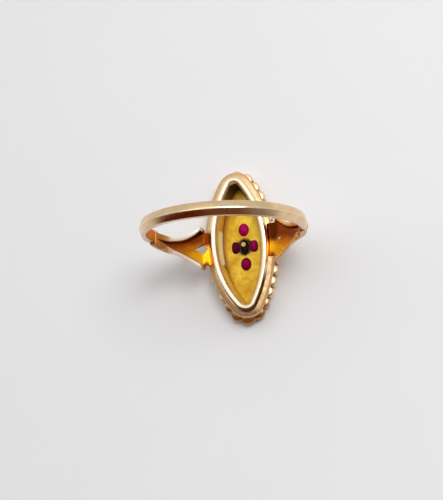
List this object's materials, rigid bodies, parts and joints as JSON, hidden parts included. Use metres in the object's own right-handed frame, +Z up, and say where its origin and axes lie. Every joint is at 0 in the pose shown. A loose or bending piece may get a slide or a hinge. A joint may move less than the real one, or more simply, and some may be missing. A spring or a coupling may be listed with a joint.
{
  "type": "navette ring",
  "caption": "Navette ring with a knife-edge shank, hollow fishtail shoulders, a beaded border, oval rubies and a small centre stone, open at the back.",
  "frame": {"origin": "on the surface that the ring rests on, at the bottom centre of its box, under the middle of the head", "axes": "+Z up from the resting surface through the head to the shank, Y along the finger hole and the head's length, X across the head"},
  "size_m": [0.0188, 0.0192, 0.0216],
  "materials": {
    "rose_gold": "polished rose gold, softly worn",
    "yellow_gold": "matte yellow gold",
    "ruby": "polished",
    "diamond": "polished"
  },
  "bodies": {
    "root": {"ring_mount": "rose_gold", "stone_plate": "yellow_gold", "ruby_top": "ruby", "ruby_bottom": "ruby", "ruby_left": "ruby", "ruby_right": "ruby", "centre_diamond": "diamond"}
  },
  "joints": []
}
